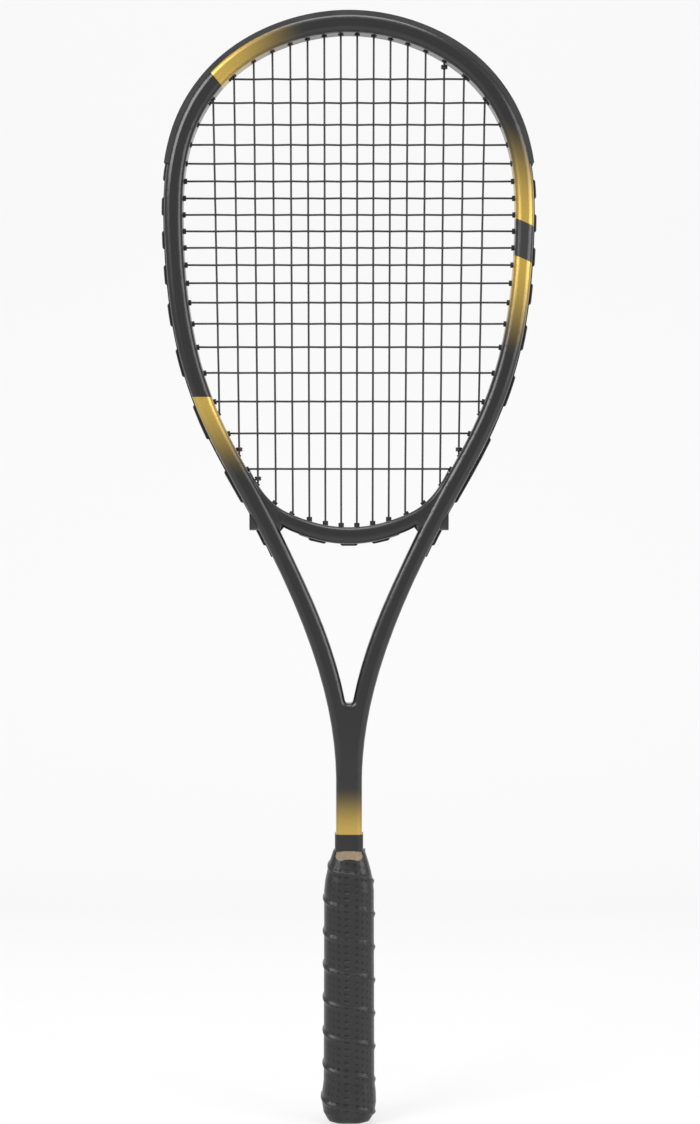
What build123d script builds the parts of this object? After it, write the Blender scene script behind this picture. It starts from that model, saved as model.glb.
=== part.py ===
from build123d import *
import math
import os

# Squash racket, millimetres. Upright: Z runs from the butt to the crown, X across
# the face, and the front of the string bed faces -Y. The origin is on the handle
# axis at the butt end.

# hoop, arms and shaft
crown_top = 683.0
hoop_width = 227.0
tube_width = 11.3
tube_depth = 18.0
bridge_depth = 14.0
tube_wall = 1.3
edge_round = 3.6
shaft_top = 212.0
shaft_width = 16.0
shaft_bottom = 8.0
crotch_half = 2.2

# throat bridge: arcs about centres on the racket's axis
bridge_top = 367.0
bridge_top_radius = 78.0
web_half = 76.0
bridge_height = 9.5
bridge_bottom_radius = 87.0
throat_corner = 4.5

# string bed
string_size = 1.25
mains = 16
bridge_mains = 6
crosses = 19
side_main_gap = 18.3
main_centre_share = 0.907
throat_narrowing = 0.955
densest_cross = 555.0
upper_crosses = 7.5
top_cross_gap = 27.8
bottom_cross_gap = 36.1
upper_share = 0.852
lower_share = 0.70
weave_clearance = 0.015

# grommets, strips and bumper
barrel_size = 3.4
barrel_bore = 1.7
crown_reach = 0.6
side_reach = 1.6
bridge_reach = 2.6
lower_lean = 1.6
hole_clearance = 0.05
bumper_thickness = 2.0
bumper_depth = 16.0
bumper_end = 591.0
channel_width = 3.4
channel_floor = 0.6
strip_thickness = 0.8
strip_depth = 5.6
strip_end = 349.0
strip_gap = 0.4
bridge_strip_half = 31.0

# handle
grip_thickness = 1.9
grip_top = 168.0
grip_bottom = 3.0
collar_top = 178.0
collar_thickness = 0.75
pallet_width = 29.0
pallet_depth = 25.0
cap_height = 26.0
cap_wall = 1.3
cap_floor = 3.0
flare_start = 143.0
plug_length = 24.0
fit_gap = 0.03

half_tube = tube_width / 2
centre_crown = crown_top - half_tube
centre_half = hoop_width / 2 - half_tube
shaft_half = shaft_width / 2

# Centre line of the tube's right half, crown to shaft, as shares of its half width
# and of its height above the shaft. The last point brings both tubes together.
hoop_shape = (
    (0.000, 1.000),
    (0.463, 0.976),
    (0.696, 0.941),
    (0.908, 0.875),
    (1.000, 0.717),
    (0.910, 0.557),
    (0.717, 0.441),
    (0.497, 0.349),
    (0.300, 0.253),
    (0.155, 0.172),
    (0.081, 0.110),
    (0.044, 0.050),
)
line_points = []
for across, up in hoop_shape:
    height = shaft_top + up * (centre_crown - shaft_top)
    line_points.append((across * centre_half, height))
line_points.append((shaft_half - half_tube, shaft_top))
corners_passed = [Vector(*point) for point in line_points]
chords = [0.0]
for start, stop in zip(corners_passed, corners_passed[1:]):
    chords.append(chords[-1] + (stop - start).length)
centre_line = Edge.make_spline(
    corners_passed,
    tangents=[Vector(1, 0), Vector(0, -1)],
    parameters=chords,
    scale=False,
)


def rail(distance, share):
    """Point beside the centre line, outwards where distance is positive."""
    point = centre_line.position_at(share)
    along = centre_line.tangent_at(share)
    return (point.X - along.Y * distance, point.Y + along.X * distance)


def outward(share):
    """Unit normal of the centre line, away from the hoop's middle."""
    along = centre_line.tangent_at(share)
    return (-along.Y, along.X)


def halve(wrong_side, low, high):
    """Value between low and high where wrong_side turns from true to false."""
    for _ in range(40):
        middle = (low + high) / 2
        if wrong_side(middle):
            low = middle
        else:
            high = middle
    return (low + high) / 2


def share_at_height(distance, height, low=0.0, high=1.0):
    return halve(lambda share: rail(distance, share)[1] > height, low, high)


widest = share_at_height(0, shaft_top + 0.717 * (centre_crown - shaft_top))


def top_share(distance, across):
    """Share on the upper half of the hoop where the rail is this far from the axis."""
    return halve(lambda share: rail(distance, share)[0] < across, 0.0, widest)


def low_share(distance, across):
    """Share below the widest place where the rail is this far from the axis."""
    return halve(lambda share: rail(distance, share)[0] > across, widest, 1.0)


def rail_points(distance, start, stop, count):
    """Evenly spaced points of one rail between two shares."""
    step = (stop - start) / (count - 1)
    return [rail(distance, start + step * number) for number in range(count)]


def both_sides(distance, stop, count=12):
    """Rail points from the left side over the crown to the right side."""
    right = rail_points(distance, 0.0, stop, count)
    left = [(-x, z) for x, z in reversed(right[1:])]
    return left + right


# places that several pieces share
bottom_arc_centre = bridge_top - bridge_height + bridge_bottom_radius
web_share = low_share(-half_tube, web_half)


def bridge_upper(across):
    """Height of the bridge's upper edge this far from the axis."""
    return bridge_top + across**2 / (2 * bridge_top_radius)


def bridge_lower(across):
    """Height of the bridge's lower edge this far from the axis."""
    return bottom_arc_centre - math.sqrt(bridge_bottom_radius**2 - across**2)


def hoop_curve(shrink):
    """Edge of the string bed's opening, closed below by the bridge's upper edge."""
    points = both_sides(-half_tube + shrink, web_share)
    for step in (2, 1, 0, -1, -2):
        across = step * bridge_half / 3
        points.append((across, bridge_upper(across) - shrink))
    return Edge.make_spline([Vector(*point) for point in points], periodic=True)


def hoop_face():
    with BuildSketch() as sketch:
        with BuildLine():
            add(hoop_edge)
        make_face()
    return sketch.sketch


def blank_face():
    """Plan of the whole racket blank, with nothing cut out of it."""
    with BuildSketch(Plane.XZ.offset(-tube_depth / 2)) as sketch:
        with BuildLine():
            Spline(*both_sides(half_tube, 1.0))
            Polyline(
                (shaft_half, shaft_top),
                (shaft_half, shaft_bottom),
                (-shaft_half, shaft_bottom),
                (-shaft_half, shaft_top),
            )
        make_face()
    return sketch.sketch


crotch_share = low_share(-half_tube, crotch_half)
bridge_half = 0.72 * web_half
hoop_edge = hoop_curve(0)
throat_share = halve(
    lambda share: rail(-half_tube, share)[1] > bridge_lower(rail(-half_tube, share)[0]),
    low_share(-half_tube, 0.9 * web_half),
    crotch_share,
)


def between_arms(shrink, thickness):
    """Solid that fills the gap inside the bent tube, hoop and throat in one."""
    points = both_sides(-half_tube - shrink, low_share(-half_tube - shrink, crotch_half))
    with BuildPart() as filling:
        with BuildSketch(Plane.XZ.offset(-thickness / 2)):
            with BuildLine():
                Spline(*points)
                Line(points[-1], points[0])
            make_face()
        extrude(amount=thickness)
    return filling.part


# The blank: the bent tube before it is hollowed and drilled, its edges rounded.
with BuildPart() as blank:
    extrude(blank_face(), amount=tube_depth)
    add(between_arms(0, 2 * tube_depth), mode=Mode.SUBTRACT)
    upright = blank.edges().filter_by(Axis.Y)
    tips = [e for e in upright if abs(e.center().X) < 1.1 * crotch_half]
    fillet(tips, crotch_half * 0.9)
    rim = blank.faces().filter_by(Axis.Y).sort_by(Axis.Y)
    fillet(rim[0].edges() + rim[-1].edges(), edge_round)


def tube_core():
    """The hollow of the bent tube: its outline moved in by the wall."""
    core_depth = tube_depth - 2 * tube_wall
    core_half = shaft_half - tube_wall
    with BuildPart() as core:
        with BuildSketch(Plane.XZ.offset(-core_depth / 2)):
            with BuildLine():
                Spline(*both_sides(half_tube - tube_wall, 1.0))
                Polyline(
                    (core_half, shaft_top),
                    (core_half, shaft_bottom - 1),
                    (-core_half, shaft_bottom - 1),
                    (-core_half, shaft_top),
                )
            make_face()
        extrude(amount=core_depth)
        add(between_arms(-tube_wall, tube_depth), mode=Mode.SUBTRACT)
        rim = core.faces().filter_by(Axis.Y).sort_by(Axis.Y)
        fillet(rim[0].edges() + rim[-1].edges(), edge_round - tube_wall)
    return core.part


def unit(across, up):
    size = math.hypot(across, up)
    return (across / size, up / size)


# String layout. Spacing is even in the middle and opens towards the sides.
outer_main = centre_half - half_tube - side_main_gap
low_start = hoop_edge.param_at_point(Vector(*rail(-half_tube, web_share)))
hoop_top = crown_top - tube_width
cross_reach_up = hoop_top - top_cross_gap - densest_cross
cross_reach_down = densest_cross - bridge_top - bottom_cross_gap


def spread(share, middle):
    return middle * share + (1 - middle) * share**3


def main_top_across(number):
    share = (number - (mains - 1) / 2) / ((mains - 1) / 2)
    return outer_main * spread(share, main_centre_share)


def cross_height(number):
    steps = number - upper_crosses
    if steps < 0:
        return densest_cross + cross_reach_up * spread(-steps / upper_crosses, upper_share)
    share = steps / (crosses - 1 - upper_crosses)
    return densest_cross - cross_reach_down * spread(share, lower_share)


def hoop_low(test, start):
    """Point of the hoop's lower edge, right half, where the test turns false."""
    middle = (low_start + 1) / 2
    place = halve(lambda at: test(hoop_edge.position_at(at)), start, middle)
    return hoop_edge.position_at(place)


def meet_rail(start, heading, lift, near):
    """Where a ray meets the tube's outer rail, lifted off it."""
    def side(share):
        point = rail(half_tube + lift, share)
        return (point[0] - start[0]) * heading[1] - (point[1] - start[1]) * heading[0]

    low = max(near - 0.1, 0.0)
    sign = 1 if side(low) > 0 else -1
    share = halve(lambda at: side(at) * sign > 0, low, near + 0.1)
    return rail(half_tube + lift, share)


def main_end(number, at_top):
    """One end of a main on the right half: tip, heading, near share, kind."""
    across = main_top_across(number)
    if at_top:
        share = top_share(-half_tube - crown_reach, across)
        tip = rail(-half_tube - crown_reach, share)
        lean = outward(share)
        return tip, unit(lean[0], lean[1] + 1), share, "crown"
    across = across * throat_narrowing
    if number < mains / 2 + bridge_mains / 2:
        return (across, bridge_upper(across) + bridge_reach), (0.0, -1.0), None, "bridge"
    if across < web_half:
        edge_point = hoop_low(lambda point: point.X > across, low_start)
        height = edge_point.Y
    else:
        height = rail(-half_tube, low_share(-half_tube, across))[1]
    share = share_at_height(0, height - tube_width)
    lean = outward(share)
    heading = unit(lower_lean * lean[0], lower_lean * lean[1] - 1)
    return (across, height + side_reach), heading, share, "side"


def cross_end(number):
    height = cross_height(number)
    share = share_at_height(-half_tube, height, low=0.02)
    if rail(-half_tube, share)[1] > height + 0.5:
        share = 0.5
    edge = rail(-half_tube, share)[0]
    if height < rail(-half_tube, web_share)[1]:
        edge = hoop_low(lambda point: point.Y > height, low_start).X
    kind = "crown" if height > bumper_end else "side"
    reach = crown_reach if kind == "crown" else side_reach
    lean = outward(share)
    return (edge - reach, height), unit(1 + lean[0], lean[1]), share, kind


def mirrored(end):
    tip, heading, share, kind = end
    return (-tip[0], tip[1]), (-heading[0], heading[1]), share, kind


def surface_point(end, lift):
    """Where the end's string passes a surface, lift above the outside of the tube."""
    tip, heading, share, kind = end
    if kind == "bridge":
        return (tip[0], bridge_lower(abs(tip[0])) - lift)
    side = -1 if tip[0] < 0 else 1
    start = (abs(tip[0]), tip[1])
    point = meet_rail(start, (heading[0] * side, heading[1]), lift, share)
    return (point[0] * side, point[1])


def end_of_main(number, at_top):
    if number >= mains / 2:
        return main_end(number, at_top)
    return mirrored(main_end(mains - 1 - number, at_top))


main_tops = [end_of_main(number, True) for number in range(mains)]
main_feet = [end_of_main(number, False) for number in range(mains)]
cross_rights = [cross_end(number) for number in range(crosses)]
cross_lefts = [mirrored(end) for end in cross_rights]



def place(point, side=0.0):
    """Point of the string plane in space."""
    return (point[0], side, point[1])


def end_plane(end, back):
    """Plane at an end's tip, looking out along its hole, moved back by a length."""
    tip, heading = end[0], end[1]
    start = (tip[0] - heading[0] * back, tip[1] - heading[1] * back)
    return Plane(origin=place(start), z_dir=place(heading))


def hole_length(end, lift):
    out = surface_point(end, lift)
    return math.hypot(out[0] - end[0][0], out[1] - end[0][1])


def drill(ends, radius):
    """String holes through whatever is being built, cut in one go."""
    drills = []
    for end in ends:
        length = hole_length(end, 0) + 8.0
        drills.append(Solid.make_cylinder(radius, length, end_plane(end, 4.0)))
    add(drills, mode=Mode.SUBTRACT)


upwards = (Align.CENTER, Align.CENTER, Align.MIN)
all_ends = main_tops + main_feet + cross_rights + cross_lefts
bridge_ends = [end for end in main_feet if end[3] == "bridge"]
crown_ends = [end for end in all_ends if end[3] == "crown"]
right_ends = [end for end in all_ends if end[3] == "side" and end[0][0] > 0]
left_ends = [end for end in all_ends if end[3] == "side" and end[0][0] < 0]
barrel_hole = barrel_size / 2 + hole_clearance


def finish(part, name):
    part.label = name
    export_step(part, f"parts/{name}.step")


os.makedirs("parts", exist_ok=True)

flat_hoop = hoop_face()

# The frame: one tube bent into hoop, arms and shaft, hollow all the way round, and
# open at the shaft's lower end. Each string passes through a lined hole.
with BuildPart() as frame:
    add(blank)
    add(tube_core(), mode=Mode.SUBTRACT)
    drill([end for end in all_ends if end[3] != "bridge"], barrel_hole)
finish(frame.part, "frame")

# The throat bridge: a hollow bar bonded between the arms, slimmer than the tube.
# Its ends run out along the tube's inner wall.
with BuildPart() as throat_bridge:
    with BuildSketch(Plane.XZ.offset(-bridge_depth / 2)) as bridge_sketch:
        points = both_sides(-half_tube - fit_gap, throat_share)
        with BuildLine():
            Spline(*points)
            ThreePointArc(points[-1], (0, bridge_lower(0)), points[0])
        make_face()
        add(flat_hoop, mode=Mode.SUBTRACT)
    bar = bridge_sketch.sketch.faces().sort_by(SortBy.AREA)[-1]
    extrude(bar, amount=bridge_depth, mode=Mode.REPLACE)
    with BuildSketch(Plane.XZ.offset(-bridge_depth / 2 + tube_wall)):
        with BuildLine():
            core_half = bridge_half * 0.6
            upper = [(x, bridge_upper(x) - tube_wall) for x in (-core_half, 0, core_half)]
            lower = [(x, bridge_lower(x) + tube_wall) for x in (-core_half, 0, core_half)]
            ThreePointArc(*upper)
            ThreePointArc(*lower)
            Line(upper[0], lower[0])
            Line(upper[2], lower[2])
        make_face()
    extrude(amount=bridge_depth - 2 * tube_wall, mode=Mode.SUBTRACT)
    drill([end for end in main_feet], barrel_hole)
finish(throat_bridge.part, "throat_bridge")


def band(inner, outer, depth):
    """Solid of a given depth between two curves through lists of points."""
    with BuildPart() as solid:
        with BuildSketch(Plane.XZ.offset(-depth / 2)):
            with BuildLine():
                Spline(*inner)
                Spline(*outer)
                Line(inner[0], outer[0])
                Line(inner[-1], outer[-1])
            make_face()
        extrude(amount=depth)
    return solid.part


# The bumper guard: a nylon strip that hooks over the crown's outer edge, with a
# channel down its middle for the strings.
bumper_share = share_at_height(half_tube, bumper_end)
strip_share = share_at_height(half_tube, strip_end)
hook = edge_round / 2
with BuildPart() as bumper_guard:
    under = both_sides(half_tube - hook, bumper_share)
    top = both_sides(half_tube + bumper_thickness, bumper_share)
    add(band(under, top, bumper_depth))
    floor = both_sides(half_tube + channel_floor, bumper_share)
    above = both_sides(half_tube + 2 * bumper_thickness, bumper_share)
    add(band(floor, above, channel_width), mode=Mode.SUBTRACT)
    add(blank, mode=Mode.SUBTRACT)
    drill(crown_ends, barrel_bore / 2)
finish(bumper_guard.part, "bumper_guard")

# The side strips: thin nylon bands from the bumper down to the arms.
strip_start = bumper_share + strip_gap / centre_line.length
for name, side, ends in (("left", -1, left_ends), ("right", 1, right_ends)):
    under = rail_points(half_tube + fit_gap, strip_start, strip_share, 13)
    top = rail_points(half_tube + strip_thickness, strip_start, strip_share, 13)
    under = [(side * x, z) for x, z in under]
    top = [(side * x, z) for x, z in top]
    with BuildPart() as side_strip:
        add(band(under, top, strip_depth))
        drill(ends, barrel_bore / 2)
    finish(side_strip.part, f"side_strip_{name}")

# The bridge strip, under the bridge.
with BuildPart() as bridge_strip:
    with BuildSketch(Plane.XZ.offset(-strip_depth / 2)):
        with Locations((0, bottom_arc_centre)):
            Circle(bridge_bottom_radius + strip_thickness)
            Circle(bridge_bottom_radius + fit_gap, mode=Mode.SUBTRACT)
        with Locations((0, bridge_lower(0))):
            Rectangle(2 * bridge_strip_half, bridge_height * 1.5, mode=Mode.INTERSECT)
    extrude(amount=strip_depth)
    drill(bridge_ends, barrel_bore / 2)
finish(bridge_strip.part, "bridge_strip")

# Grommet barrels: a nylon tube through each string hole, from the hoop's inside
# to the strip that holds it.
for name, ends in (
    ("crown_grommets", crown_ends),
    ("side_grommets_left", left_ends),
    ("side_grommets_right", right_ends),
    ("bridge_grommets", bridge_ends),
):
    with BuildPart() as barrels:
        for end in ends:
            with Locations(end_plane(end, 0)):
                length = hole_length(end, 0) - 0.5
                Cylinder(barrel_size / 2, length, align=upwards)
                Cylinder(barrel_bore / 2, length, align=upwards, mode=Mode.SUBTRACT)
    finish(barrels.part, name)

# Strings. A main and a cross meet with their surfaces touching, each half a string
# off the middle plane, over and under in turn.
weave = string_size / 2 + weave_clearance
bend_at_crossing = 3.0
bend_at_tip = 1.2
bend_at_exit = 1.0
crown_lift = channel_floor + string_size / 2 + fit_gap
side_lift = strip_thickness + string_size / 2 + fit_gap


def main_across(number, height):
    """Where a main passes a height: it narrows a little towards the throat."""
    foot = main_feet[number][0]
    top = main_tops[number][0]
    share = (height - foot[1]) / (top[1] - foot[1])
    return foot[0] + share * (top[0] - foot[0])


def meets(main, cross):
    height = cross_rights[cross][0][1]
    inside = main_feet[main][0][1] + 1.5 < height < main_tops[main][0][1] - 1.5
    return inside and abs(main_across(main, height)) < cross_rights[cross][0][0] - 1.5


def side_of(main, cross):
    return weave if (main + cross) % 2 else -weave


def main_run(number):
    """Crossing points of a main from its foot to its top."""
    points = []
    for cross in reversed(range(crosses)):
        if meets(number, cross):
            height = cross_rights[cross][0][1]
            points.append((main_across(number, height), side_of(number, cross), height))
    return points


def cross_run(number):
    """Crossing points of a cross from left to right."""
    height = cross_rights[number][0][1]
    points = []
    for main in range(mains):
        if meets(main, number):
            points.append((main_across(main, height), -side_of(main, number), height))
    return points


def lift_at(end):
    if end[3] == "crown":
        return crown_lift
    return side_lift


def loop_between(first, second):
    """Points outside the frame between two neighbouring holes."""
    a = surface_point(first, lift_at(first))
    b = surface_point(second, lift_at(second))
    if first[3] == "bridge" or a[0] * b[0] < 0:
        return [place(a), place(b)]
    side = -1 if a[0] < 0 else 1
    lift = max(lift_at(first), lift_at(second))
    start = share_at_height(half_tube + lift, a[1])
    stop = share_at_height(half_tube + lift, b[1])
    middle = rail(half_tube + lift, (start + stop) / 2)
    middle = (middle[0] * side, middle[1])
    return [place(a), place(middle), place(b)]


def lay_string(runs, start_ends, stop_ends):
    """Points and bends of one string through all its runs, loops between them."""
    points = []
    bends = []
    forward = True
    for number, run in enumerate(runs):
        first, last = start_ends[number], stop_ends[number]
        ordered = run
        if not forward:
            first, last = last, first
            ordered = list(reversed(run))
        if number == 0:
            points.append(place(surface_point(first, strip_thickness)))
            bends.append(bend_at_exit)
        points.append(place(first[0]))
        bends.append(bend_at_tip)
        for point in ordered:
            points.append(point)
            bends.append(bend_at_crossing)
        points.append(place(last[0]))
        bends.append(bend_at_tip)
        if number == len(runs) - 1:
            points.append(place(surface_point(last, strip_thickness)))
            bends.append(bend_at_exit)
        else:
            following = stop_ends[number + 1] if forward else start_ends[number + 1]
            for point in loop_between(last, following):
                points.append(point)
                bends.append(bend_at_exit)
        forward = not forward
    return points, bends


main_points, main_bends = lay_string(
    [main_run(number) for number in range(mains)], main_feet, main_tops
)
cross_points, cross_bends = lay_string(
    [list(reversed(cross_run(number))) for number in range(crosses)],
    cross_rights,
    cross_lefts,
)
for name, points, bends in (
    ("main_string", main_points, main_bends),
    ("cross_string", cross_points, cross_bends),
):
    with BuildPart() as string:
        with BuildLine() as route:
            FilletPolyline(*points, radius=bends[1:-1])
        with BuildSketch(Plane(origin=route.line @ 0, z_dir=route.line % 0)):
            Circle(string_size / 2)
        sweep()
    finish(string.part, name)


# Handle. Each section of it is a rounded rectangle, wide across the face and
# shallower front to back, and the shaft runs down its middle.
handle_shape = (
    (grip_bottom, 0.93),
    (7.0, 1.08),
    (13.0, 1.11),
    (19.0, 1.07),
    (cap_height, 1.01),
    (flare_start, 1.00),
    (149.0, 0.95),
    (155.0, 0.87),
    (161.0, 0.77),
    (grip_top, 0.60),
)
shaft_depth = tube_depth


def handle_section(height, share, extra):
    """Rounded rectangle of the handle, wider all round by an extra."""
    width = pallet_width * share + 2 * extra
    depth = max(pallet_depth * share, shaft_depth + 2 * collar_thickness) + 2 * extra
    with BuildSketch(Plane.XY.offset(height)) as section:
        RectangleRounded(width, depth, min(width, depth) * 0.36)
    return section.sketch


def handle_body(extra, first, last):
    """Solid through the handle's sections from one of them to another."""
    with BuildPart() as body:
        for height, share in handle_shape[first : last + 1]:
            add(handle_section(height, share, extra))
        loft(ruled=True)
    return body.part


def shaft_prism(extra, bottom, top):
    with BuildPart() as prism:
        with BuildSketch(Plane.XY.offset(bottom)):
            width = shaft_width + 2 * extra
            RectangleRounded(width, shaft_depth + 2 * extra, edge_round + extra)
        extrude(amount=top - bottom)
    return prism.part


cap_section = 4
last_section = len(handle_shape) - 1
pallet_end = cap_floor + grip_bottom

# The pallet: foam moulded round the shaft, stepped in at its foot for the butt cap.
with BuildPart() as handle_pallet:
    add(handle_body(0, cap_section, last_section))
    with BuildSketch(Plane.XY.offset(pallet_end)):
        width = pallet_width - 2 * cap_wall - 2 * fit_gap
        depth = pallet_depth - 2 * cap_wall - 2 * fit_gap
        RectangleRounded(width, depth, depth * 0.36)
    extrude(amount=cap_height - pallet_end)
    add(shaft_prism(fit_gap, shaft_bottom, collar_top), mode=Mode.SUBTRACT)
finish(handle_pallet.part, "handle_pallet")

# The butt cap: a flared plastic cup over the pallet's foot, closed by a domed end.
with BuildPart() as butt_cap:
    add(handle_body(0, 0, cap_section))
    with BuildSketch(Plane.XY):
        RectangleRounded(pallet_width * 0.6, pallet_depth * 0.55, pallet_depth * 0.2)
    with BuildSketch(Plane.XY.offset(grip_bottom / 2)):
        RectangleRounded(pallet_width * 0.86, pallet_depth * 0.84, pallet_depth * 0.3)
    add(handle_section(grip_bottom, handle_shape[0][1], 0))
    loft(ruled=True)
    with BuildSketch(Plane.XY.offset(pallet_end - fit_gap)):
        RectangleRounded(
            pallet_width - 2 * cap_wall,
            pallet_depth - 2 * cap_wall,
            (pallet_depth - 2 * cap_wall) * 0.36,
        )
    extrude(amount=cap_height, mode=Mode.SUBTRACT)
finish(butt_cap.part, "butt_cap")

# The shaft plug: foam in the open end of the carbon shaft.
with BuildPart() as shaft_plug:
    with BuildSketch(Plane.XY.offset(shaft_bottom)):
        inset = 2 * tube_wall + 2 * fit_gap
        RectangleRounded(shaft_width - inset, shaft_depth - inset, edge_round - tube_wall)
    extrude(amount=plug_length)
finish(shaft_plug.part, "shaft_plug")

# The grip: a wrap over cap and pallet, here as one sleeve of the wrap's thickness.
with BuildPart() as grip_tape:
    add(handle_body(grip_thickness, 0, last_section))
    add(handle_body(fit_gap, 0, last_section), mode=Mode.SUBTRACT)
finish(grip_tape.part, "grip_tape")

# The finishing tape: it closes the grip's upper end on the shaft.
with BuildPart() as finishing_tape:
    add(shaft_prism(collar_thickness, grip_top + fit_gap, collar_top))
    add(shaft_prism(fit_gap, grip_top - 1, collar_top + 1), mode=Mode.SUBTRACT)
finish(finishing_tape.part, "finishing_tape")

# Tie-offs: each string end is hitched round the main beside its last hole.
def knot(number, at_top, turns):
    tip, heading = (main_tops if at_top else main_feet)[number][:2]
    below = -1 if at_top else 1
    for turn in range(turns):
        lift = 2.2 + turn * string_size
        height = tip[1] + below * lift
        across = main_across(number, height)
        with Locations((across, 0, height)):
            Torus(string_size * 1.02 + 0.2, string_size / 2)


for name, places in (
    ("main_knots", ((1, False), (mains - 2, False))),
    ("cross_knots", ((mains - 3, True), (2, False))),
):
    with BuildPart() as knots:
        for number, at_top in places:
            knot(number, at_top, 2)
    finish(knots.part, name)
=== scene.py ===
import bpy
import math
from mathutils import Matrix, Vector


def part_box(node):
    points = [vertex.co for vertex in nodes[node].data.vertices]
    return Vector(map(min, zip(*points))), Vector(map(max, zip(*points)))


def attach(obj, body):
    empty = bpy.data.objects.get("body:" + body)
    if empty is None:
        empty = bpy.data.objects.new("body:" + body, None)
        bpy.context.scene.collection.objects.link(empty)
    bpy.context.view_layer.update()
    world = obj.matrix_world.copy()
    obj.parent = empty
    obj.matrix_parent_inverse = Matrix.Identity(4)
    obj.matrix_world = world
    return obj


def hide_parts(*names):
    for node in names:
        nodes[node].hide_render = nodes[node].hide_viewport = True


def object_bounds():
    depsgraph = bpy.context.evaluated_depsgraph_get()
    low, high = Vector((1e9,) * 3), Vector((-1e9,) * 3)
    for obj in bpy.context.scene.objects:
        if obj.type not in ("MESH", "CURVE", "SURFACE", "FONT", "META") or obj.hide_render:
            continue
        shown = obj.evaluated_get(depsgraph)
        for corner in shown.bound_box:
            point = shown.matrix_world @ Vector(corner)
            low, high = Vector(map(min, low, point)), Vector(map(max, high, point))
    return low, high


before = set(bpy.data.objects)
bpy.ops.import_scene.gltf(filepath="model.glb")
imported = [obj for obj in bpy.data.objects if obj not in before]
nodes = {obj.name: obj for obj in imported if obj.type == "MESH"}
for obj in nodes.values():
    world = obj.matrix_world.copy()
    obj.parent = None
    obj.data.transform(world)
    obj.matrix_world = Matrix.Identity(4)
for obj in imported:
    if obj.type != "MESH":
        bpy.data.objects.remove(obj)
cad_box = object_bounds()

# The studio. The racket stands upright before a pale sweep: a flat floor that
# curves up behind it, seen straight on from a little under a metre and a half.
low, high = cad_box
racket_height = high[2] - low[2]
view_distance = 1.45
view_across = 0.0006
view_height_share = 0.5045
picture_height = racket_height * 1.014
eye = bpy.data.cameras.new("eye")
camera = bpy.data.objects.new("eye", eye)
bpy.context.scene.collection.objects.link(camera)
eye.sensor_fit = "VERTICAL"
eye.sensor_height = 24.0
eye.lens = eye.sensor_height * view_distance / picture_height
camera.location = (view_across, -view_distance, low[2] + racket_height * view_height_share)
camera.rotation_euler = (math.radians(90), 0, 0)
bpy.context.scene.camera = camera
bpy.context.scene.view_settings.view_transform = "Standard"


def colour(text):
    """sRGB hex to the linear values that a shader takes."""
    parts = [int(text[i : i + 2], 16) / 255 for i in (1, 3, 5)]
    linear = [p / 12.92 if p < 0.04045 else ((p + 0.055) / 1.055) ** 2.4 for p in parts]
    return (*linear, 1.0)


def node(tree, kind, inputs=None, **settings):
    """Add a node with its settings, and its inputs as values or as links."""
    made = tree.nodes.new(kind)
    for name, value in settings.items():
        setattr(made, name, value)
    for name, value in (inputs or {}).items():
        if isinstance(value, bpy.types.NodeSocket):
            tree.links.new(value, made.inputs[name])
        else:
            made.inputs[name].default_value = value
    return made


def material(name):
    """A new material and its empty node tree."""
    made = bpy.data.materials.new(name)
    made.use_nodes = True
    made.node_tree.nodes.clear()
    return made, made.node_tree


def surface(tree, shader):
    """Send a shader to the material's output."""
    node(tree, "ShaderNodeOutputMaterial", {"Surface": shader.outputs[0]})


def dress(name, finish):
    """Give a CAD node one finish all over."""
    mesh = nodes[name].data
    mesh.materials.clear()
    mesh.materials.append(finish)


def mesh_piece(name, points, faces, finish):
    """A smooth-shaded object made of the given points and faces."""
    mesh = bpy.data.meshes.new(name)
    mesh.from_pydata(points, [], faces)
    mesh.materials.append(finish)
    mesh.polygons.foreach_set("use_smooth", [True] * len(mesh.polygons))
    mesh.update()
    piece = bpy.data.objects.new(name, mesh)
    bpy.context.scene.collection.objects.link(piece)
    return piece


# The sweep looks evenly bright to the eye and in reflections, and takes a faint shadow.
paper, tree = material("matte_paper_sweep")
rays = node(tree, "ShaderNodeLightPath")
lit = node(tree, "ShaderNodeBsdfDiffuse", {"Color": colour("#F4F4F4")})
seen = node(
    tree,
    "ShaderNodeMath",
    {0: rays.outputs["Is Camera Ray"], 1: rays.outputs["Is Glossy Ray"]},
    operation="MAXIMUM",
)
glow = node(tree, "ShaderNodeEmission", {"Color": colour("#FFFFFF"), "Strength": seen.outputs[0]})
glow_share = 0.72
shade = node(
    tree, "ShaderNodeMixShader", {0: glow_share, 1: lit.outputs[0], 2: glow.outputs[0]}
)
surface(tree, shade)
sweep_side = 3.0
sweep_back = 0.9
sweep_radius = 0.8
sweep_top = 4.0
sweep_steps = 12
under_racket = 0.0005
profile = [(-sweep_side, 0.0), (sweep_back, 0.0)]
for step in range(1, sweep_steps + 1):
    turn = math.radians(90 * step / sweep_steps)
    back, rise = sweep_radius * math.sin(turn), sweep_radius * (1 - math.cos(turn))
    profile.append((sweep_back + back, rise))
profile.append((sweep_back + sweep_radius, sweep_top))
floor = low[2] - under_racket
points = [(side, y, floor + z) for y, z in profile for side in (-sweep_side, sweep_side)]
faces = [(2 * i, 2 * i + 1, 2 * i + 3, 2 * i + 2) for i in range(len(profile) - 1)]
sweep = mesh_piece("paper_sweep", points, faces, paper)

world = bpy.data.worlds.new("studio")
bpy.context.scene.world = world
world.use_nodes = True
backdrop = world.node_tree.nodes["Background"]
backdrop.inputs["Color"].default_value = colour("#FFFFFF")
backdrop.inputs["Strength"].default_value = 0.55

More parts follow.
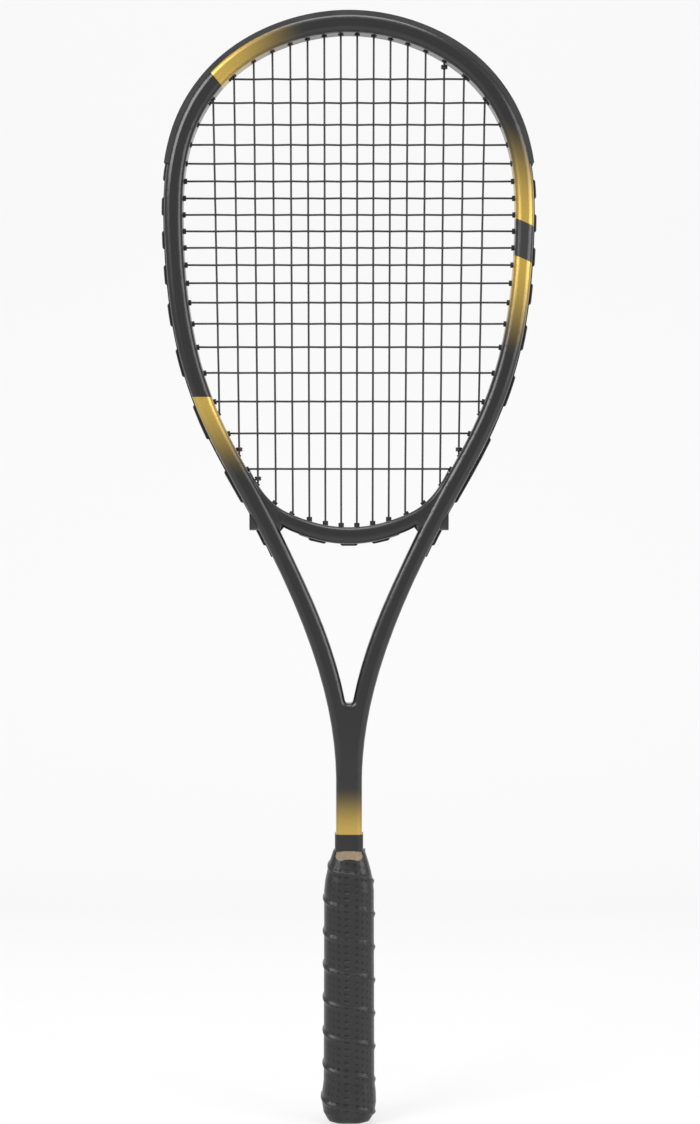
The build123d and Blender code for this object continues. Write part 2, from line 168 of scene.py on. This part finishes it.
lamp_aim_height = 0.4
for name, place, size, power in (
    ("key_box", (-1.3, -1.4, 1.5), 1.1, 26),
    ("fill_box", (1.5, -1.0, 0.9), 1.3, 16),
    ("top_box", (0.0, -0.2, 1.9), 1.0, 14),
):
    lamp = bpy.data.lights.new(name, "AREA")
    lamp.size = size
    lamp.energy = power
    holder = bpy.data.objects.new(name, lamp)
    bpy.context.scene.collection.objects.link(holder)
    holder.location = place
    aim = -holder.location
    aim.z += lamp_aim_height
    holder.rotation_euler = aim.to_track_quat("-Z", "Y").to_euler()

# The frame and throat bridge: moulded carbon fibre under satin lacquer. Four gold
# fades start at a sharp line and thin out into the black along the tube.
# Each fade's pair is its sharp line and where it is gone, as a height in metres, or as
# an angle round the middle of the head for the one on the crown. The two lines on the
# right slope down outwards, with a dark grey block between them.
gold_slope = 0.45
side_reach = 0.1135
head_middle = 0.545
crown_fade = (math.radians(-40), math.radians(-11))
crown_from = 0.6
side_up_fade = (0.552, 0.612)
side_down_fade = (0.529, 0.464)
lower_fade = (0.447, 0.396)
shaft_fade = (0.176, 0.208)
shaft_to = 0.21
gold_metal = 0.55
lacquer, tree = material("satin_lacquer_on_carbon")
spot = node(tree, "ShaderNodeTexCoord").outputs["Object"]
axes = node(tree, "ShaderNodeSeparateXYZ", {0: spot})
grain = node(tree, "ShaderNodeTexNoise", {"Vector": spot, "Scale": 900.0, "Detail": 3.0})


def maths(operation, first, second, third=0.0):
    return node(
        tree, "ShaderNodeMath", {0: first, 1: second, 2: third}, operation=operation
    ).outputs[0]


def fade(value, sharp, gone):
    """One at the sharp line, nothing at the other end, nothing before the line."""
    ramp = node(
        tree,
        "ShaderNodeMapRange",
        {"Value": value, "From Min": sharp, "From Max": gone, "To Min": 1.0, "To Max": 0.0},
        interpolation_type="SMOOTHSTEP",
    ).outputs[0]
    inside = maths("GREATER_THAN" if gone > sharp else "LESS_THAN", value, sharp)
    return maths("MULTIPLY", ramp, inside)


across, up = axes.outputs["X"], axes.outputs["Z"]
on_right = maths("GREATER_THAN", across, 0.0)
on_left = maths("LESS_THAN", across, 0.0)
slant = maths("MULTIPLY_ADD", across, gold_slope, up)
round_hoop = maths("ARCTAN2", across, maths("SUBTRACT", up, head_middle))
at_crown = maths("GREATER_THAN", up, crown_from)
at_shaft = maths("LESS_THAN", up, shaft_to)
upper_line, upper_gone, lower_line, lower_gone = (
    height + side_reach * gold_slope for height in (*side_up_fade, *side_down_fade)
)
gold = 0.0
for place, band in (
    (at_crown, fade(round_hoop, *crown_fade)),
    (on_right, fade(slant, upper_line, upper_gone)),
    (on_right, fade(slant, lower_line, lower_gone)),
    (on_left, fade(up, *lower_fade)),
    (at_shaft, fade(up, *shaft_fade)),
):
    gold = maths("MAXIMUM", gold, maths("MULTIPLY", band, place))
between_lines = maths(
    "MULTIPLY", maths("GREATER_THAN", slant, lower_line), maths("LESS_THAN", slant, upper_line)
)
block = maths("MULTIPLY", between_lines, on_right)
speckle = node(
    tree, "ShaderNodeMapRange", {"Value": grain.outputs[0], "To Min": 0.88, "To Max": 1.12}
)
black = node(
    tree,
    "ShaderNodeMix",
    {0: block, 6: colour("#141415"), 7: colour("#2B2B2D")},
    data_type="RGBA",
)
base = node(
    tree,
    "ShaderNodeMix",
    {0: gold, 6: black.outputs[2], 7: colour("#C9A94F")},
    data_type="RGBA",
)
mottled = node(
    tree,
    "ShaderNodeVectorMath",
    {0: base.outputs[2], 1: speckle.outputs[0]},
    operation="MULTIPLY",
)
rough = node(
    tree, "ShaderNodeMapRange", {"Value": grain.outputs[0], "To Min": 0.26, "To Max": 0.38}
)
orange_peel = node(tree, "ShaderNodeTexNoise", {"Vector": spot, "Scale": 240.0, "Detail": 2.0})
bump = node(
    tree,
    "ShaderNodeBump",
    {"Height": orange_peel.outputs[0], "Strength": 0.08, "Distance": 0.0003},
)
paint = node(
    tree,
    "ShaderNodeBsdfPrincipled",
    {
        "Base Color": mottled.outputs[0],
        "Roughness": rough.outputs[0],
        "Normal": bump.outputs[0],
        "Coat Weight": 0.35,
        "Coat Roughness": 0.12,
    },
)
metal = maths("MULTIPLY", gold, gold_metal)
tree.links.new(metal, paint.inputs["Metallic"])
surface(tree, paint)
dress("frame", lacquer)
dress("throat_bridge", lacquer)

# The throat bridge: a carbon bar moulded into the arms with wide webs, so that its
# rounded edges run on into theirs. One closed skin stands in for the whole CAD piece,
# which has square edges, and is slimmer than the skin.
bridge_low, bridge_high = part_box("throat_bridge")
bar_foot = bridge_low[2] + 0.0001
bar_height = 0.0095
arm_height = 0.0105
web_reach = bridge_high[0]
web_start = web_reach * 0.48
web_thins_from = web_reach * 0.55
arm_hides_from = web_reach * 0.68
web_pull = 2.1
upper_radius = 0.078
lower_radius = 0.087
lower_reach = 0.045
corner_start = 0.0375
corner_radius = 0.0050
tube_half_depth = 0.00895
web_half_depth = 0.0056
edge_round = 0.0036
edge_round_share = 0.95
bar_steps = 120
bar_sides = 28


def ease(at, start, stop):
    """Nought before the start, one past the stop, and a smooth step between."""
    share = max(0.0, min(1.0, (at - start) / (stop - start)))
    return share * share * (3 - 2 * share)


def bar_upper(across):
    """Upper edge: an arc, then a curve up along the arm's inner wall."""
    arc = bar_foot + bar_height + min(across, web_start) ** 2 / (2 * upper_radius)
    if across < web_start:
        return arc
    run = web_reach - web_start
    t = (across - web_start) / run
    rise = bridge_high[2] - arc
    first, last = web_start / upper_radius * run, web_pull * run
    leaving, climbing, arriving = t**3 - 2 * t**2 + t, 3 * t**2 - 2 * t**3, t**3 - t**2
    return arc + leaving * first + climbing * rise + arriving * last


def bar_lower(across):
    """Lower edge: a fixed drop below the upper one, then level from the corner out."""
    arc = bar_foot + lower_radius - math.sqrt(lower_radius**2 - min(across, lower_reach) ** 2)
    past = min(max(0.0, across - corner_start) / corner_radius, 1.0)
    corner = arc - corner_radius * (1 - math.sqrt(1 - past * past))
    hidden = bar_upper(across) - arm_height
    return corner + (hidden - corner) * ease(across, corner_start + corner_radius, arm_hides_from)


points, faces = [], []
for step in range(bar_steps + 1):
    across = web_reach * (2 * step / bar_steps - 1)
    top, foot = bar_upper(abs(across)), bar_lower(abs(across))
    thinning = ease(abs(across), web_thins_from, web_reach)
    half_depth = tube_half_depth - (tube_half_depth - web_half_depth) * thinning
    half_height = (top - foot) / 2
    round_off = min(edge_round, half_height * edge_round_share)
    for side in range(bar_sides):
        turn = 2 * math.pi * (side + 0.5) / bar_sides
        c, s = math.cos(turn), math.sin(turn)
        y = math.copysign(half_depth - round_off, c) + round_off * c
        z = math.copysign(half_height - round_off, s) + round_off * s
        points.append((across, y, (top + foot) / 2 + z))
for step in range(bar_steps):
    for side in range(bar_sides):
        a = step * bar_sides + side
        b = step * bar_sides + (side + 1) % bar_sides
        faces.append((a, b, b + bar_sides, a + bar_sides))
faces.append(tuple(range(bar_sides)))
faces.append(tuple(reversed(range(bar_steps * bar_sides, (bar_steps + 1) * bar_sides))))
bridge_skin = mesh_piece("bridge_skin", points, faces, lacquer)
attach(bridge_skin, "root")
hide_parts("throat_bridge")

# The bumper guard: moulded nylon, matte, its grey painted light (the lit look of its top painted
# in as its colour) and mottled darker by faint scuffs. Strips and grommets are the same nylon in
# plain black.
for finish_name, shade_hex, places in (
    # Grey painted light: the bumper's lit look painted in as its colour; the noise below adds
    # darker scuffs.
    ("scuffed_nylon_painted_lit_grey", "#39393B", ("bumper_guard",)),
    (
        "moulded_black_nylon",
        "#1A1A1B",
        (
            "side_strip_left",
            "side_strip_right",
            "bridge_strip",
            "crown_grommets",
            "side_grommets_left",
            "side_grommets_right",
            "bridge_grommets",
        ),
    ),
):
    nylon, tree = material(finish_name)
    spot = node(tree, "ShaderNodeTexCoord").outputs["Object"]
    texture = node(tree, "ShaderNodeTexNoise", {"Vector": spot, "Scale": 1400.0, "Detail": 4.0})
    scuff = node(tree, "ShaderNodeTexNoise", {"Vector": spot, "Scale": 60.0, "Detail": 6.0})
    tone = node(
        tree,
        "ShaderNodeMix",
        {0: scuff.outputs[0], 6: colour(shade_hex), 7: colour("#101011")},
        data_type="RGBA",
    )
    bump = node(
        tree,
        "ShaderNodeBump",
        {"Height": texture.outputs[0], "Strength": 0.35, "Distance": 0.0002},
    )
    plastic = node(
        tree,
        "ShaderNodeBsdfPrincipled",
        {"Base Color": tone.outputs[2], "Roughness": 0.55, "Normal": bump.outputs[0]},
    )
    surface(tree, plastic)
    for name in places:
        dress(name, nylon)

# The strings: smooth black multifilament, twisted finely enough that only a faint
# slanting rib shows.
fibre, tree = material("coated_multifilament")
spot = node(tree, "ShaderNodeTexCoord").outputs["Object"]
twist = node(
    tree,
    "ShaderNodeTexWave",
    {"Vector": spot, "Scale": 420.0, "Distortion": 0.6},
    bands_direction="DIAGONAL",
)
bump = node(
    tree, "ShaderNodeBump", {"Height": twist.outputs[0], "Strength": 0.25, "Distance": 0.0001}
)
worn = node(tree, "ShaderNodeTexNoise", {"Vector": spot, "Scale": 90.0, "Detail": 3.0})
tone = node(
    tree,
    "ShaderNodeMix",
    {0: worn.outputs[0], 6: colour("#202023"), 7: colour("#34343A")},
    data_type="RGBA",
)
coat = node(
    tree,
    "ShaderNodeBsdfPrincipled",
    {"Base Color": tone.outputs[2], "Roughness": 0.42, "Normal": bump.outputs[0]},
)
surface(tree, coat)
for name in ("main_string", "cross_string", "main_knots", "cross_knots"):
    dress(name, fibre)

# The handle's inside: pale polyurethane foam, moulded, with a fine closed cell.
foam, tree = material("moulded_polyurethane_foam")
spot = node(tree, "ShaderNodeTexCoord").outputs["Object"]
cells = node(tree, "ShaderNodeTexVoronoi", {"Vector": spot, "Scale": 900.0})
tone = node(
    tree,
    "ShaderNodeMix",
    {0: cells.outputs[0], 6: colour("#8C7A62"), 7: colour("#A8977C")},
    data_type="RGBA",
)
body = node(tree, "ShaderNodeBsdfPrincipled", {"Base Color": tone.outputs[2], "Roughness": 0.8})
surface(tree, body)
dress("handle_pallet", foam)
dress("shaft_plug", foam)

# The butt cap and the finishing tape: moulded black plastic, and glossy vinyl.
for name, finish_name, shade_hex, roughness, grain_scale in (
    ("butt_cap", "moulded_black_plastic", "#18181A", 0.45, 900.0),
    ("finishing_tape", "stretched_vinyl_tape", "#151516", 0.28, 160.0),
):
    skin, tree = material(finish_name)
    spot = node(tree, "ShaderNodeTexCoord").outputs["Object"]
    texture = node(
        tree, "ShaderNodeTexNoise", {"Vector": spot, "Scale": grain_scale, "Detail": 3.0}
    )
    bump = node(
        tree,
        "ShaderNodeBump",
        {"Height": texture.outputs[0], "Strength": 0.2, "Distance": 0.0003},
    )
    tone = node(
        tree,
        "ShaderNodeMix",
        {0: texture.outputs[0], 6: colour(shade_hex), 7: colour("#242426")},
        data_type="RGBA",
    )
    plastic = node(
        tree,
        "ShaderNodeBsdfPrincipled",
        {"Base Color": tone.outputs[2], "Roughness": roughness, "Normal": bump.outputs[0]},
    )
    surface(tree, plastic)
    dress(name, skin)

# The grip: one strip of perforated polyurethane wound up the handle, each turn
# lapping the one below, so that a soft ridge runs round it as a shallow spiral.
grip_low, grip_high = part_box("grip_tape")
grip_pitch = 0.0204
lap_width = 0.16
lap_fall = 0.10
lap_sharpness = 1.5
lap_rise = 0.0009
corner_power = 2.9
shaft_half_deep = 0.0101
hole_step = 0.0042
grip_rings = 620
grip_sides = 96
half_wide = (grip_high[0] - grip_low[0]) / 2
half_deep = (grip_high[1] - grip_low[1]) / 2
# Height above the grip's foot in metres, and the share of its greatest width there.
grip_outline = (
    (0.000, 0.80),
    (0.004, 0.93),
    (0.010, 0.98),
    (0.016, 0.97),
    (0.023, 0.92),
    (0.140, 0.905),
    (0.146, 0.87),
    (0.152, 0.80),
    (0.158, 0.71),
    (0.163, 0.62),
    (0.165, 0.58),
)


def between(table, at):
    """Value of a table at a height, on a straight line between its rows."""
    for (a, first), (b, second) in zip(table, table[1:]):
        if at <= b:
            share = max(0.0, min(1.0, (at - a) / (b - a)))
            return first + (second - first) * share
    return table[-1][1]


def wrap_lift(turn):
    """Height of the wrap's surface across one turn: a rise, a fall, then flat."""
    turn = turn % 1.0
    if turn < lap_width:
        return math.sin(math.pi * turn / lap_width * 0.5) ** 2
    return max(0.0, 1.0 - (turn - lap_width) / lap_fall) ** lap_sharpness


rubber, tree = material("perforated_polyurethane_wrap")
strip_map = node(tree, "ShaderNodeUVMap", uv_map="strip").outputs[0]
hole_field = node(
    tree,
    "ShaderNodeTexVoronoi",
    {"Vector": strip_map, "Scale": 1.0, "Randomness": 0.0},
    voronoi_dimensions="2D",
)
hole = node(
    tree,
    "ShaderNodeMapRange",
    {"Value": hole_field.outputs["Distance"], "From Min": 0.14, "From Max": 0.24},
)
spot = node(tree, "ShaderNodeTexCoord").outputs["Object"]
leather = node(tree, "ShaderNodeTexVoronoi", {"Vector": spot, "Scale": 1500.0})
dust = node(tree, "ShaderNodeTexNoise", {"Vector": spot, "Scale": 70.0, "Detail": 5.0})
depth = node(
    tree, "ShaderNodeBump", {"Height": hole.outputs[0], "Strength": 0.9, "Distance": 0.0006}
)
skin_bump = node(
    tree,
    "ShaderNodeBump",
    {
        "Height": leather.outputs[0],
        "Strength": 0.15,
        "Distance": 0.0002,
        "Normal": depth.outputs[0],
    },
)
tone = node(
    tree,
    "ShaderNodeMix",
    {0: dust.outputs[0], 6: colour("#121213"), 7: colour("#222224")},
    data_type="RGBA",
)
# Painted shade: the perforations are coloured near-black, standing in for the shadow inside each
# hole.
holes_in_painted_shade = node(
    tree,
    "ShaderNodeMix",
    {0: hole.outputs[0], 6: colour("#050505"), 7: tone.outputs[2]},
    data_type="RGBA",
)
gloss = node(tree, "ShaderNodeMapRange", {"Value": dust.outputs[0], "To Min": 0.3, "To Max": 0.5})
soft = node(
    tree,
    "ShaderNodeBsdfPrincipled",
    {
        "Base Color": holes_in_painted_shade.outputs[2],
        "Roughness": gloss.outputs[0],
        "Normal": skin_bump.outputs[0],
        "Coat Weight": 0.15,
        "Coat Roughness": 0.3,
    },
)
surface(tree, soft)

grip_height = grip_high[2] - grip_low[2]
points = []
for ring in range(grip_rings + 1):
    rise = grip_height * ring / grip_rings
    share = between(grip_outline, rise)
    for side in range(grip_sides):
        turn = 2 * math.pi * side / grip_sides
        lap = wrap_lift(rise / grip_pitch + side / grip_sides)
        c, s = math.cos(turn), math.sin(turn)
        x = math.copysign(abs(c) ** (2 / corner_power), c)
        y = math.copysign(abs(s) ** (2 / corner_power), s)
        wide = half_wide * share - lap_rise + lap * lap_rise
        deep = max(half_deep * share, shaft_half_deep) - lap_rise + lap * lap_rise
        points.append((wide * x, deep * y, grip_low[2] + rise))
faces = []
for ring in range(grip_rings):
    for side in range(grip_sides):
        a = ring * grip_sides + side
        b = ring * grip_sides + (side + 1) % grip_sides
        faces.append((a, b, b + grip_sides, a + grip_sides))
bottom_centre = len(points)
points.append((0, 0, grip_low[2]))
for side in range(grip_sides):
    faces.append((bottom_centre, (side + 1) % grip_sides, side))
top_centre = len(points)
points.append((0, 0, grip_high[2]))
start = grip_rings * grip_sides
for side in range(grip_sides):
    faces.append((top_centre, start + side, start + (side + 1) % grip_sides))
grip = mesh_piece("grip_wrap", points, faces, rubber)
strip_uv = grip.data.uv_layers.new(name="strip")
for polygon in grip.data.polygons:
    middle_turn = (polygon.index % grip_sides + 0.5) / grip_sides
    for loop in polygon.loop_indices:
        vertex = grip.data.loops[loop].vertex_index
        ring, side = divmod(vertex, grip_sides)
        turn = side / grip_sides
        if middle_turn - turn > 0.5:
            turn += 1.0
        along = turn * 2 * math.pi * half_wide / hole_step
        rise = grip_height * ring / grip_rings / hole_step
        strip_uv.data[loop].uv = (along, rise + turn * grip_pitch / hole_step)
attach(grip, "root")
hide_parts("grip_tape")
